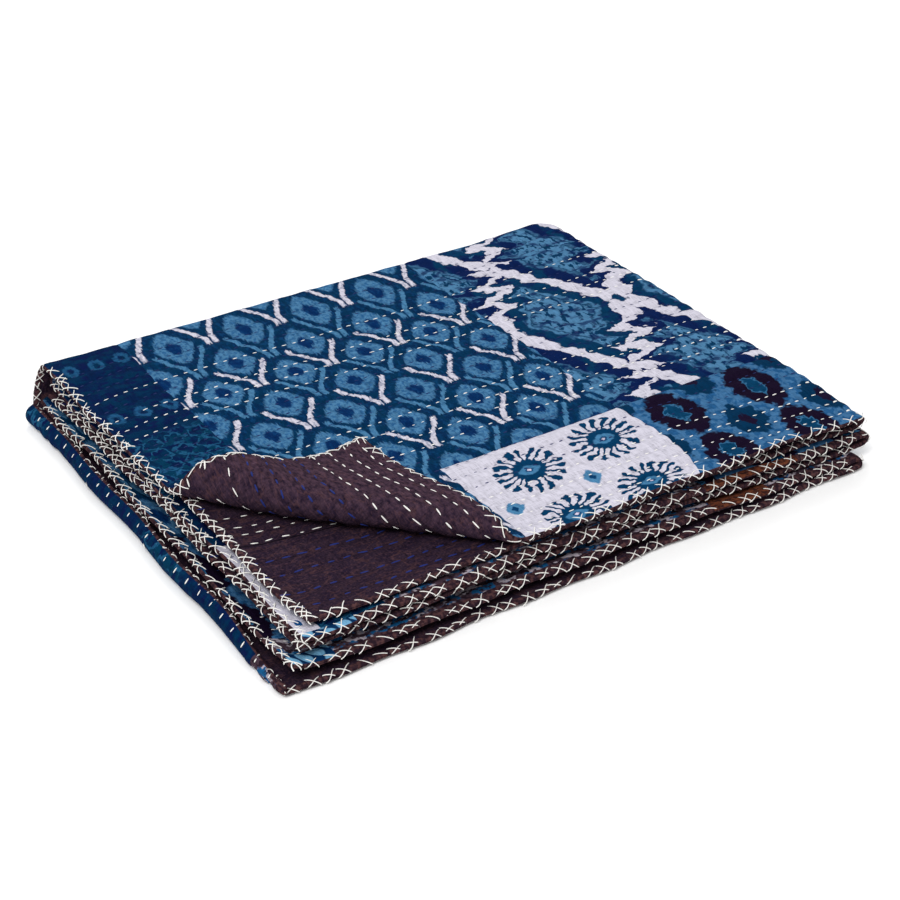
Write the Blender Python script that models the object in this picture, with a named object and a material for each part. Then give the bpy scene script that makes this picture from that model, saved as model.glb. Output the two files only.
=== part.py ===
"""Kantha quilt, folded into six layers, with the near left corner of the top layer turned back.

Two cloths make the quilt: a printed patchwork top and a plain brown backing, sewn face to face
along the whole sheet. Both follow one middle surface. It is laid out layer by layer, joined by
rounded folds at the two far sides, and left open at the left and the front, as the quilt lies.

Units are metres. +X runs along the long front edge, +Y from the front to the back, +Z is up. The
sizes below count from the nominal near left corner of the stack. The finished solids are moved so
that the origin lies under the middle of their box.
"""
import math
from collections import namedtuple

import bmesh
import bpy
from mathutils import Vector

MM = 0.001

# Driving dimensions
FOLD_LENGTH = 474 * MM        # from the open left edges to the start of the right folds
FOLD_WIDTH = 386 * MM         # from the open front edges to the start of the back folds
CLOTH = 1.6 * MM              # thickness of each cloth with its share of the padding
CLOTH_GAP = 0.3 * MM          # air between the two cloths
CORNER_RADIUS = 17 * MM       # plan radius of the folded far right corner
CORNER_BUMP = 3.5 * MM        # the thick folded corner stands up a little
CORNER_BUMP_REACH = 45 * MM
WRAP_BULGE = 9 * MM           # how far the back wrap swells past the layers that it joins
SIDE_BOW = 3 * MM             # the right side bows out in its middle
NOSE_REACH = 150 * MM         # how far from the front the right folds stand out unevenly
SINK_REACH = 70 * MM          # how far from the near right corner the layers sink towards it

# One row for each layer, top first, in millimetres. left and front are the insets of the open
# edges, right and back those of the folds. nose is how far the right fold stands out at the front.
# open, side and rear are the heights of the middle surface over the open part, at the right folds
# and at the back folds, and sink is how far it sinks at the near right corner. left_lift and
# front_lift raise the open edges, which curl a little.
Layer = namedtuple(
    "Layer", "print_up left front right nose back open side rear sink left_lift front_lift")
LAYERS = (
    Layer(True, 9.0, 5.0, 1.5, 4.0, 0.0, 43.0, 44.0, 42.5, 6.0, 1.0, 0.5),
    Layer(False, 17.0, 12.0, 1.5, 4.0, 5.0, 36.0, 29.0, 34.0, 3.5, 2.5, 0.0),
    Layer(True, 11.0, 5.0, 0.0, 12.0, 5.0, 29.5, 24.2, 27.5, 3.5, 2.5, 0.0),
    Layer(False, 8.0, 7.0, 0.0, 12.0, 5.5, 22.0, 13.0, 18.0, 1.2, 5.0, 0.5),
    Layer(True, 0.0, -1.0, -1.5, -1.0, 5.5, 12.5, 8.2, 11.5, 1.2, 7.5, 1.0),
    Layer(False, -2.5, -4.0, -1.5, -1.0, 0.0, 1.9, 1.9, 1.9, 0.0, 0.0, 1.5),
)
TOP = 0
BOTTOM = len(LAYERS) - 1
SIDE_SLOPE_START = 0.55       # share of the length where the layers draw together in pairs
REAR_SLOPE_START = 0.62       # share of the width where they draw together at the back

# Unevenness of the open edges in plan: two waves, and how their lengths change with the layer
EDGE_WAVE = 1.6 * MM
EDGE_REACH = 39 * MM          # how far in from the front its unevenness reaches
STEP_IN = 4 * MM              # the upper layers' left edges step in towards the front
Ripple = namedtuple("Ripple", "share length change phase")
EDGE_RIPPLES = (
    Ripple(0.6, 171 * MM, -9 * MM, 1.9),
    Ripple(0.4, 83 * MM, 6 * MM, 0.7),
)
LIFT_REACH = 24 * MM          # how far in from an open edge its curl starts
SAG = 0.7 * MM                # slow ups and downs of the upper layers
SAG_LENGTH = 383 * MM
SAG_WIDTH = 295 * MM

# The bottom layer's open left edge curls up and over, printed side out
CURL_RADIUS = 6.5 * MM
CURL_TURN = math.radians(150)
CURL_HEM = 4 * MM             # straight hem past the curl
CURL_STEPS = 5
CURL_AT_FRONT = 0.4           # share of the curl's size at the near left corner
CURL_FULL = 80 * MM           # how far from that corner it has its full size

# The corner that is turned back
FLAP_NORMAL = Vector((0.699, 0.715))             # from the near left corner to the fold line
FLAP_ALONG = Vector((FLAP_NORMAL.y, -FLAP_NORMAL.x))   # along that line, to the front edge
FLAP_DISTANCE = 131 * MM      # from that corner to the fold line
FLAP_ROLL = 8.5 * MM          # radius of the roll in its middle
FLAP_ROLL_LEFT = 10.5 * MM    # radius of the roll at the left edge
FLAP_ROLL_FRONT = 5.5 * MM    # radius of the roll at the front edge
FLAP_BEND = 13 * MM           # the fold line bends away from the corner at the left edge
FLAP_BEND_START = 0.1         # where it starts to bend, as a share of the distance
FLAP_SWING = 14 * MM          # the tip swings towards the left edge
FLAP_REST = 4.6 * MM          # height of the settled tip over the top layer
FLAP_SETTLE = 72 * MM         # how far past the roll the cloth comes to rest
FLAP_RIM_BUMP = 9 * MM        # the flap's left rim stands up in one wave
FLAP_RIM_CREST = 122 * MM     # where along the left edge that wave is highest
FLAP_RIM_SPREAD = 34 * MM

# Rows of quilting stitches on the top face, which pull the cloth in
ROW_PITCH = 15.2 * MM
ROW_DEPTH = 0.45 * MM
ROW_MARGIN = 14 * MM          # the ridges fade out this far from the edges and the roll

# Mesh sizes. The rows of cells lie on the rows of quilting.
COLUMNS = 10                  # cells along X, between the open edge and the folded corner
ROWS = 8                      # cells along Y
HALF_ROWS_IN_CELL = 6
HALF_ROWS_IN_FIRST = 2
CORNER_CELLS = 2              # cells within the rounded corner, along X and along Y
SIDE_FOLD_STEPS = 5
INNER_FOLD_STEPS = 4
WRAP_STEPS = 8
ROLL_STEPS = 8
BEND_STEPS = 3                # steps like the roll's where its fold line bends
FLAP_CUTS = (14 * MM, 34 * MM, 60 * MM)
SNAP = 0.05 * MM              # points nearer to a cut than this are moved onto it

PATCHWORK_COLOUR = (0.030, 0.110, 0.210, 1.0)
BACKING_COLOUR = (0.050, 0.026, 0.030, 1.0)


def smooth(value):
    """Ease from 0 to 1."""
    value = min(max(value, 0.0), 1.0)
    return value * value * (3.0 - 2.0 * value)


def mix(a, b, share):
    return a + (b - a) * share


def wave(number, along):
    """Unevenness of an open edge, from -1 to 1, different for each number."""
    total = 0.0
    for ripple in EDGE_RIPPLES:
        length = ripple.length + ripple.change * number
        total += ripple.share * math.sin(2.0 * math.pi * along / length + ripple.phase * number)
    return total


def left_edge(number, y):
    """X of a layer's open left edge."""
    layer = LAYERS[number]
    step_in = STEP_IN * (0.5 - y / FOLD_WIDTH) if layer.left > 0.0 else 0.0
    return layer.left * MM + step_in + EDGE_WAVE * wave(number, y)


def front_edge(number, x):
    """Y of a layer's open front edge."""
    return LAYERS[number].front * MM + EDGE_WAVE * wave(number + len(LAYERS), x)


def right_edge(number, y):
    """X of the line where a layer's right fold starts."""
    layer = LAYERS[number]
    bow = SIDE_BOW * math.sin(math.pi * y / FOLD_WIDTH)
    nose = layer.nose * MM * smooth(1.0 - y / NOSE_REACH)
    return FOLD_LENGTH + bow + nose - layer.right * MM


def past_corner(u, v):
    """How far a point lies past the straight sides, towards the folded corner."""
    return Vector((u * FOLD_LENGTH - (FOLD_LENGTH - CORNER_RADIUS),
                   v * FOLD_WIDTH - (FOLD_WIDTH - CORNER_RADIUS)))


def plan(number, u, v):
    """Place of a layer's point in plan, from shares u and v of its length and width."""
    layer = LAYERS[number]
    past = past_corner(u, v)
    if min(past) > 0.0:
        pull = past * (1.0 - max(past) / past.length)
        u -= pull.x / FOLD_LENGTH
        v -= pull.y / FOLD_WIDTH
    y = v * FOLD_WIDTH
    x = mix(left_edge(number, y), right_edge(number, y), u)
    y += front_edge(number, x) * max(0.0, 1.0 - y / EDGE_REACH) - layer.back * MM * v
    return Vector((x, y))


def height(number, spot):
    """Height of a layer's middle surface over a point in plan."""
    layer = LAYERS[number]
    to_side = smooth((spot.x / FOLD_LENGTH - SIDE_SLOPE_START) / (1.0 - SIDE_SLOPE_START))
    to_rear = smooth((spot.y / FOLD_WIDTH - REAR_SLOPE_START) / (1.0 - REAR_SLOPE_START))
    level = mix(mix(layer.open, layer.side, to_side), layer.rear, to_rear) * MM
    from_left = spot.x - left_edge(number, spot.y)
    from_front = spot.y - front_edge(number, spot.x)
    level += layer.left_lift * MM * max(0.0, 1.0 - from_left / LIFT_REACH) ** 2
    level += layer.front_lift * MM * max(0.0, 1.0 - from_front / LIFT_REACH) ** 2
    share = (BOTTOM - number) / BOTTOM
    sag = (math.sin(2.0 * math.pi * spot.x / SAG_LENGTH)
           * math.sin(2.0 * math.pi * spot.y / SAG_WIDTH + 1.0))
    from_corner = math.hypot(FOLD_LENGTH - spot.x, FOLD_WIDTH - spot.y) / CORNER_BUMP_REACH
    from_nose = math.hypot(FOLD_LENGTH - spot.x, spot.y) / SINK_REACH
    level -= layer.sink * MM * math.exp(-from_nose ** 2)
    return level + share * (SAG * sag + CORNER_BUMP * math.exp(-from_corner ** 2))


def past_fold(spot):
    """Distance of a top layer's point past the fold line, towards the turned corner."""
    bend = FLAP_BEND * smooth(-spot.dot(FLAP_ALONG) / FLAP_DISTANCE - FLAP_BEND_START)
    return FLAP_DISTANCE + bend - spot.dot(FLAP_NORMAL)


def top_layer_point(spot):
    """Place of the top layer's point in space, rolled over and turned back at the corner."""
    past = past_fold(spot)
    if past <= 0.0:
        return Vector((*spot, height(TOP, spot)))
    along = spot.dot(FLAP_ALONG)
    end_radius = FLAP_ROLL_LEFT if along < 0.0 else FLAP_ROLL_FRONT
    radius = mix(FLAP_ROLL, end_radius, min(1.0, abs(along) / FLAP_DISTANCE) ** 2)
    arc = math.pi * radius
    if past <= arc:
        offset = -radius * math.sin(past / radius)
        rise = radius * (1.0 - math.cos(past / radius))
    else:
        offset = past - arc
        rise = mix(2.0 * radius, FLAP_REST, smooth(offset / FLAP_SETTLE))
    line = spot + FLAP_NORMAL * past
    share = past / FLAP_DISTANCE
    place = line + FLAP_NORMAL * offset - FLAP_ALONG * FLAP_SWING * smooth(share) * share
    rim = math.exp(-((spot.x - left_edge(TOP, spot.y)) / FLAP_RIM_SPREAD) ** 2)
    crest = math.exp(-((spot.y - FLAP_RIM_CREST) / FLAP_RIM_SPREAD) ** 2)
    rise += FLAP_RIM_BUMP * rim * crest * smooth(past / arc)
    return Vector((*place, height(TOP, line) + rise))


def flap_normal_at(spot):
    """Direction out of the printed side of the turned corner, from its slopes."""
    step = 0.2 * MM
    here = top_layer_point(spot)
    slope_x = top_layer_point(spot + Vector((step, 0.0))) - here
    slope_y = top_layer_point(spot + Vector((0.0, step))) - here
    return slope_x.cross(slope_y).normalized()


def column_places():
    """Places along X: a narrow first cell, even cells, then the rounded corner's cells."""
    first = LIFT_REACH / 2.0
    last = FOLD_LENGTH - CORNER_RADIUS
    even = [mix(first, last, step / COLUMNS) for step in range(COLUMNS)]
    corner = [mix(last, FOLD_LENGTH, step / CORNER_CELLS) for step in range(CORNER_CELLS + 1)]
    return [0.0, *even, *corner]


def row_places():
    """Places along Y. The right folds end at the last even row, the corner is the back wrap's."""
    half_row = ROW_PITCH / 2.0
    last = FOLD_WIDTH - CORNER_RADIUS
    even = [half_row * HALF_ROWS_IN_CELL * step for step in range(1, ROWS + 1)]
    corner = [mix(last, FOLD_WIDTH, step / CORNER_CELLS) for step in range(CORNER_CELLS + 1)]
    return [0.0, half_row * HALF_ROWS_IN_FIRST, *even, *corner]


U_SHARES = [place / FOLD_LENGTH for place in column_places()]
V_SHARES = [place / FOLD_WIDTH for place in row_places()]
LAST_I = len(U_SHARES) - 1
LAST_J = len(V_SHARES) - 1


def flat_top_layer():
    """The top layer lying flat, cut along the lines where the turned corner bends."""
    mesh = bmesh.new()
    grid = [[mesh.verts.new((*plan(TOP, u, v), 0.0)) for v in V_SHARES] for u in U_SHARES]
    for i in range(LAST_I):
        for j in range(LAST_J):
            mesh.faces.new((grid[i][j], grid[i + 1][j], grid[i + 1][j + 1], grid[i][j + 1]))
    arc = math.pi * FLAP_ROLL
    cuts = [arc * step / ROLL_STEPS for step in range(-BEND_STEPS, ROLL_STEPS + 1)]
    cuts += [arc + reach for reach in FLAP_CUTS]
    for cut in cuts:
        point = FLAP_NORMAL * (FLAP_DISTANCE - cut)
        everything = mesh.verts[:] + mesh.edges[:] + mesh.faces[:]
        bmesh.ops.bisect_plane(mesh, geom=everything, dist=SNAP,
                               plane_co=(*point, 0.0), plane_no=(*FLAP_NORMAL, 0.0))
    uneven = [face for face in mesh.faces if len(face.verts) > 4]
    bmesh.ops.triangulate(mesh, faces=uneven)
    return mesh


class MiddleSurface:
    """Named points and faces of the folded sheet. Faces turn their printed side up the normal."""

    def __init__(self):
        self.points = {}
        self.faces = []
        self.known_normals = {}
        self.lay_top()
        for number in range(TOP + 1, BOTTOM + 1):
            self.lay(number)
        self.join_layers()
        self.curl_bottom_edge()

    def name_at(self, spot):
        """Name of a point of the top layer, from its place in plan."""
        return (TOP, round(spot.x / MM, 3), round(spot.y / MM, 3))

    def name(self, number, i, j):
        """Name of a grid point of any layer."""
        if number == TOP:
            return self.name_at(plan(TOP, U_SHARES[i], V_SHARES[j]))
        return (number, i, j)

    def fill(self, rows, first_to_next):
        """Faces between rows of points, which run against each other if first_to_next is False."""
        for near, far in zip(rows, rows[1:]):
            for step in range(len(near) - 1):
                face = [near[step], near[step + 1], far[step + 1], far[step]]
                self.faces.append(face if first_to_next else face[::-1])

    def lay_top(self):
        flat = flat_top_layer()
        for vertex in flat.verts:
            spot = vertex.co.xy
            self.points[self.name_at(spot)] = top_layer_point(spot)
            if past_fold(spot) > 0.0:
                self.known_normals[self.name_at(spot)] = flap_normal_at(spot)
        for face in flat.faces:
            self.faces.append([self.name_at(vertex.co.xy) for vertex in face.verts])
        flat.free()

    def lay(self, number):
        for i, u in enumerate(U_SHARES):
            for j, v in enumerate(V_SHARES):
                spot = plan(number, u, v)
                self.points[(number, i, j)] = Vector((*spot, height(number, spot)))
        rows = [[(number, i, j) for i in range(LAST_I + 1)] for j in range(LAST_J + 1)]
        self.fill(rows, LAYERS[number].print_up)

    def join(self, upper, lower, stations, steps, bulge=None):
        """Half rounds from grid points on one layer to the same ones on another."""
        rows = []
        for i, j in stations:
            row = [self.name(upper, i, j)]
            end_name = self.name(lower, i, j)
            start = self.points[row[0]]
            end = self.points[end_name]
            swell = bulge or (start.z - end.z) / 2.0
            for step in range(1, steps):
                angle = math.pi * step / steps
                place = start.lerp(end, (1.0 - math.cos(angle)) / 2.0)
                row.append(("fold", upper, lower, i, j, step))
                self.points[row[-1]] = place + outwards(i, j) * swell * math.sin(angle)
            rows.append([*row, end_name])
        self.fill(rows, LAYERS[upper].print_up)

    def join_layers(self):
        """Pairs at the right, the layers between them at the back, and a wrap round them all."""
        corner_i = LAST_I - CORNER_CELLS
        corner_j = LAST_J - CORNER_CELLS
        side = [(LAST_I, j) for j in range(corner_j)]
        back = [(i, LAST_J) for i in range(corner_i, -1, -1)]
        around = [(LAST_I, j) for j in range(corner_j, LAST_J)]
        around += [(i, LAST_J) for i in range(LAST_I, -1, -1)]
        for upper in range(TOP, BOTTOM, 2):
            self.join(upper, upper + 1, side, SIDE_FOLD_STEPS)
        for upper in range(TOP + 1, BOTTOM, 2):
            self.join(upper, upper + 1, back, INNER_FOLD_STEPS)
        self.join(TOP, BOTTOM, around, WRAP_STEPS, WRAP_BULGE)

    def curl_bottom_edge(self):
        """The bottom layer's left edge, turned up and over and ending in a straight hem."""
        rows = []
        for j in range(LAST_J):
            row = [(BOTTOM, 0, j)]
            start = self.points[row[0]]
            size = mix(CURL_AT_FRONT, 1.0, smooth(start.y / CURL_FULL))
            for step in range(1, CURL_STEPS + 1):
                angle = CURL_TURN * step / CURL_STEPS
                turned = Vector((-math.sin(angle), 0.0, 1.0 - math.cos(angle)))
                row.append(("curl", j, step))
                self.points[row[-1]] = start + turned * CURL_RADIUS * size
            heading = Vector((-math.cos(CURL_TURN), 0.0, math.sin(CURL_TURN)))
            hem = self.points[row[-1]] + heading * CURL_HEM * size
            row.append(("hem", j))
            self.points[row[-1]] = hem
            rows.append(row)
        self.fill(rows, True)


def outwards(i, j):
    """Direction in which a fold swells at a grid point of the right or back side."""
    past = past_corner(U_SHARES[i], V_SHARES[j])
    if min(past) > -SNAP:
        return Vector((*past, 0.0)).normalized()
    return Vector((1.0, 0.0, 0.0)) if i == LAST_I else Vector((0.0, 1.0, 0.0))


def cloth_solid(surface, outer, inner):
    """A closed solid between two offsets from the middle surface, outer on the printed side."""
    mesh = bmesh.new()
    vertices = {name: mesh.verts.new(place) for name, place in surface.points.items()}
    for face in surface.faces:
        mesh.faces.new([vertices[name] for name in face])
    bmesh.ops.triangulate(mesh, faces=mesh.faces[:])
    sheet = mesh.faces[:]
    mesh.normal_update()
    normals = {vertex: vertex.normal.copy() for vertex in mesh.verts}
    for name, normal in surface.known_normals.items():
        normals[vertices[name]] = normal
    rims = [edge for edge in mesh.edges if edge.is_boundary]
    below = {vertex: mesh.verts.new(vertex.co + normal * inner)
             for vertex, normal in normals.items()}
    for face in sheet:
        mesh.faces.new([below[vertex] for vertex in reversed(face.verts)])
    for edge in rims:
        loop = edge.link_loops[0]
        first, second = loop.vert, loop.link_loop_next.vert
        mesh.faces.new((second, first, below[first], below[second]))
    for vertex, normal in normals.items():
        vertex.co += normal * outer
    mesh.normal_update()
    return mesh


def on_printed_top(place):
    """Whether a point lies on the top layer's printed side, short of the turned corner."""
    spot = place.xy
    inside_x = left_edge(TOP, spot.y) - MM < spot.x < right_edge(TOP, spot.y) + MM
    inside_y = front_edge(TOP, spot.x) - MM < spot.y < FOLD_WIDTH + MM
    over = place.z - height(TOP, spot)
    return inside_x and inside_y and past_fold(spot) < 0.0 and CLOTH / 2.0 < over < CLOTH * 2.0


def printed_top_faces(mesh):
    return [face for face in mesh.faces
            if face.normal.z > 0.9 and all(on_printed_top(vertex.co) for vertex in face.verts)]


def raise_quilting(mesh):
    """Cut the printed face of the top layer into rows and raise a ridge between each two."""

    def relief(spot):
        room = min(spot.x - left_edge(TOP, spot.y), spot.y - front_edge(TOP, spot.x),
                   right_edge(TOP, spot.y) - spot.x, FOLD_WIDTH - spot.y, -past_fold(spot))
        ridge = -math.cos(2.0 * math.pi * spot.y / ROW_PITCH)
        return ROW_DEPTH * ridge * smooth(room / ROW_MARGIN)

    bmesh.ops.join_triangles(mesh, faces=printed_top_faces(mesh),
                             angle_face_threshold=math.radians(20),
                             angle_shape_threshold=math.radians(40))
    faces = printed_top_faces(mesh)
    for half_row in range(1, HALF_ROWS_IN_CELL * ROWS + 1):
        edges = {edge for face in faces for edge in face.edges}
        vertices = {vertex for face in faces for vertex in face.verts}
        cut = bmesh.ops.bisect_plane(mesh, geom=[*vertices, *edges, *faces], dist=SNAP,
                                     plane_co=(0.0, half_row * ROW_PITCH / 2.0, 0.0),
                                     plane_no=(0.0, 1.0, 0.0))
        faces = [item for item in cut["geom"]
                 if isinstance(item, bmesh.types.BMFace) and item.normal.z > 0.9]
    kept = set(faces)
    vertices = {vertex for face in faces for vertex in face.verts}
    for vertex in vertices:
        if all(face in kept for face in vertex.link_faces):
            vertex.co.z += relief(vertex.co.xy)


def make_object(name, mesh, colour, roughness):
    """A named object with its own material, shaded smooth."""
    data = bpy.data.meshes.new(name)
    mesh.to_mesh(data)
    mesh.free()
    material = bpy.data.materials.new(name)
    material.use_nodes = True
    shader = material.node_tree.nodes["Principled BSDF"]
    shader.inputs["Base Color"].default_value = colour
    shader.inputs["Roughness"].default_value = roughness
    shader.inputs["Metallic"].default_value = 0.0
    data.materials.append(material)
    data.shade_smooth()
    data.set_sharp_from_angle(angle=math.radians(50))
    thing = bpy.data.objects.new(name, data)
    bpy.context.scene.collection.objects.link(thing)
    return thing


def stand_on_origin(things):
    """Move the meshes so that the middle of their box's underside is the origin."""
    places = [vertex.co for thing in things for vertex in thing.data.vertices]
    low = Vector([min(place[axis] for place in places) for axis in range(3)])
    high = Vector([max(place[axis] for place in places) for axis in range(3)])
    shift = Vector((-(low.x + high.x) / 2.0, -(low.y + high.y) / 2.0, -low.z))
    for thing in things:
        for vertex in thing.data.vertices:
            vertex.co += shift


def main():
    for thing in list(bpy.data.objects):
        bpy.data.objects.remove(thing, do_unlink=True)
    surface = MiddleSurface()
    near = CLOTH_GAP / 2.0
    far = near + CLOTH
    patchwork = cloth_solid(surface, far, near)
    raise_quilting(patchwork)
    backing = cloth_solid(surface, -near, -far)
    things = [
        make_object("patchwork_top", patchwork, PATCHWORK_COLOUR, 0.85),
        make_object("backing_cloth", backing, BACKING_COLOUR, 0.9),
    ]
    stand_on_origin(things)


main()
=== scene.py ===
"""Looks of a kantha quilt, folded into six layers with one corner turned back.

Lengths in the sections on the cloth are in millimetres, on the same folded surface as the solids.
"""
import math
from collections import namedtuple
from functools import partial, partialmethod

import bpy
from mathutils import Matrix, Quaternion, Vector, noise


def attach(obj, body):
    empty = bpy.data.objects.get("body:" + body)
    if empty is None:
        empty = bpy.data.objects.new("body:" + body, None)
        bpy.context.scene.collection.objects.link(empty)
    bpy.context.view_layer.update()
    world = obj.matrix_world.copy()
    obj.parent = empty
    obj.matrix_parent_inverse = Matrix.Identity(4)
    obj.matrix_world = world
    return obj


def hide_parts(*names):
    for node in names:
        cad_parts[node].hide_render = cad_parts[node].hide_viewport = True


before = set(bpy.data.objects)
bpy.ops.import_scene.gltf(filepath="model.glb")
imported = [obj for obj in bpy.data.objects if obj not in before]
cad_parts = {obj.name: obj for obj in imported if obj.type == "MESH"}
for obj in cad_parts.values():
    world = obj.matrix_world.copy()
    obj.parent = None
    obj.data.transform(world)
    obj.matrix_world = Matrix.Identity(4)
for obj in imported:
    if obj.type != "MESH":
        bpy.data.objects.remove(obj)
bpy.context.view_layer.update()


# ---- Camera, floor and light ----
# The quilt is seen from the front and a little from the left, from above. It lies on a plain
# pale floor under a broad soft light, with white all round.
def put_in(name, data):
    thing = bpy.data.objects.new(name, data)
    bpy.context.scene.collection.objects.link(thing)
    return thing


camera = put_in("camera", bpy.data.cameras.new("camera"))
camera.data.sensor_width = 36
camera.data.lens = 73.43
camera.location = (-0.6491, -0.9725, 0.7209)
looks_at = Vector((-0.0020, -0.0137, 0))
camera_roll = Quaternion((0, 0, 1), 0.0126)
facing = (looks_at - camera.location).to_track_quat("-Z", "Y")
camera.rotation_euler = (facing @ camera_roll).to_euler()
bpy.context.scene.camera = camera
bpy.context.scene.view_settings.view_transform = "Standard"

floor_mesh = bpy.data.meshes.new("floor")
floor_mesh.from_pydata([(-30, -30, 0), (30, -30, 0), (30, 30, 0), (-30, 30, 0)], [], [(0, 1, 2, 3)])
floor = put_in("floor", floor_mesh)
pale = bpy.data.materials.new("pale_floor")
pale.use_nodes = True
pale.node_tree.nodes["Principled BSDF"].inputs["Base Color"].default_value = (1, 1, 1, 1)
pale.node_tree.nodes["Principled BSDF"].inputs["Roughness"].default_value = 0.9
floor_mesh.materials.append(pale)

world = bpy.data.worlds.new("soft_white")
world.use_nodes = True
world.node_tree.nodes["Background"].inputs["Color"].default_value = (1, 1, 1, 1)
world.node_tree.nodes["Background"].inputs["Strength"].default_value = 0.75
bpy.context.scene.world = world


def soft_light(name, place, size, watts):
    """A square area light that faces the quilt."""
    lamp = bpy.data.lights.new(name, "AREA")
    lamp.size = size
    lamp.energy = watts
    light = put_in(name, lamp)
    light.location = place
    light.rotation_euler = (-Vector(place)).to_track_quat("-Z", "Y").to_euler()


soft_light("key_light", (-1.3, -0.9, 2.2), 1.1, 38)
soft_light("back_light", (0.9, 1.6, 1.8), 1.4, 16)


# ---- The folded sheet ----
# Two thin cotton cloths are sewn together over their whole area and folded into six layers. Both
# follow this middle surface, the same one as the solids: six layers, open at the left and the
# front, joined by rounded folds at the right and the back, the near left corner turned back.
LENGTH = 474  # from the open left edges to the right folds
WIDTH = 386  # from the open front edges to the back folds
ORIGIN = Vector((240.04, 195.64, 0.15))  # under the middle of the solids' box
CORNER_RADIUS = 17
CORNER_START, ROWS_END = LENGTH - CORNER_RADIUS, WIDTH - CORNER_RADIUS
RIGHT_FOLDS_END = 364.8  # the right folds run from the front to here
Layer = namedtuple(
    "Layer", "print_up left front right nose back open side rear sink left_lift front_lift")
LAYERS = (
    Layer(True, 9, 5, 1.5, 4, 0, 43, 44, 42.5, 6, 1, 0.5),
    Layer(False, 17, 12, 1.5, 4, 5, 36, 29, 34, 3.5, 2.5, 0),
    Layer(True, 11, 5, 0, 12, 5, 29.5, 24.2, 27.5, 3.5, 2.5, 0),
    Layer(False, 8, 7, 0, 12, 5.5, 22, 13, 18, 1.2, 5, 0.5),
    Layer(True, 0, -1, -1.5, -1, 5.5, 12.5, 8.2, 11.5, 1.2, 7.5, 1),
    Layer(False, -2.5, -4, -1.5, -1, 0, 1.9, 1.9, 1.9, 0, 0, 1.5),
)
TOP, BOTTOM = 0, 5
EDGE_WAVE = 1.6  # unevenness of the open edges in plan
EDGE_REACH = 39  # how far in from the front it reaches
STEP_IN = 4  # the upper layers' left edges step in towards the front
SIDE_BOW = 3  # the right side bows out in its middle
NOSE_REACH = 150  # how far from the front the right folds stand out unevenly
SIDE_SLOPE_START, REAR_SLOPE_START = 0.55, 0.62  # shares where the layers draw together
SINK_REACH = 70  # how far from the near right corner the layers sink
SAG, SAG_LENGTH, SAG_WIDTH = 0.7, 383, 295  # slow ups and downs of the upper layers
CORNER_BUMP, CORNER_BUMP_REACH = 3.5, 45  # the thick far right corner stands up
LIFT_REACH = 24  # how far in from an open edge its curl starts
WRAP_BULGE = 9  # how far the back wrap swells past the layers that it joins
CURL_RADIUS, CURL_TURN = 6.5, math.radians(150)  # of the rolled left edge
CURL_AT_FRONT, CURL_FULL = 0.4, 80  # it is smaller over this distance at the front
FLAP_NORMAL = Vector((0.699, 0.715))  # from the turned corner to its fold line
FLAP_ALONG = Vector((0.715, -0.699))
FLAP_DISTANCE = 131
FLAP_ROLL, FLAP_ROLL_LEFT, FLAP_ROLL_FRONT = 8.5, 10.5, 5.5  # radius, middle and ends
FLAP_BEND, FLAP_BEND_START = 13, 0.1  # the fold line bends away at the left edge
FLAP_SWING = 14  # the tip swings towards the left edge
FLAP_REST, FLAP_SETTLE = 4.6, 72  # height of the settled tip, and where it settles
FLAP_RIM_BUMP, FLAP_RIM_CREST, FLAP_RIM_SPREAD = 9, 122, 34  # wave in its left rim


def smooth(value):
    """Ease from 0 to 1."""
    value = min(max(value, 0), 1)
    return value * value * (3 - 2 * value)


def mix(a, b, share):
    return a + (b - a) * share


def wave(number, along):
    """Unevenness of an open edge, different for each number."""
    turn = 2 * math.pi * along
    return (0.6 * math.sin(turn / (171 - 9 * number) + 1.9 * number)
            + 0.4 * math.sin(turn / (83 + 6 * number) + 0.7 * number))


def left_edge(number, y):
    layer = LAYERS[number]
    step_in = STEP_IN * (0.5 - y / WIDTH) if layer.left > 0 else 0
    return layer.left + step_in + EDGE_WAVE * wave(number, y)


def front_edge(number, x):
    return LAYERS[number].front + EDGE_WAVE * wave(number + len(LAYERS), x)


def right_edge(number, y):
    """The right folds stand out unevenly towards the front."""
    layer = LAYERS[number]
    return (LENGTH - layer.right + SIDE_BOW * math.sin(math.pi * y / WIDTH)
            + layer.nose * smooth(1 - y / NOSE_REACH))


def plan(number, x, y):
    """Place in plan of a point of a layer. x and y are measured on the cloth."""
    past = Vector((x - CORNER_START, y - ROWS_END))
    if min(past) > 0:
        pull = past * (1 - max(past) / past.length)
        x -= pull.x
        y -= pull.y
    x = mix(left_edge(number, y), right_edge(number, y), x / LENGTH)
    y += front_edge(number, x) * max(0, 1 - y / EDGE_REACH) - LAYERS[number].back * y / WIDTH
    return Vector((x, y))


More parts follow.
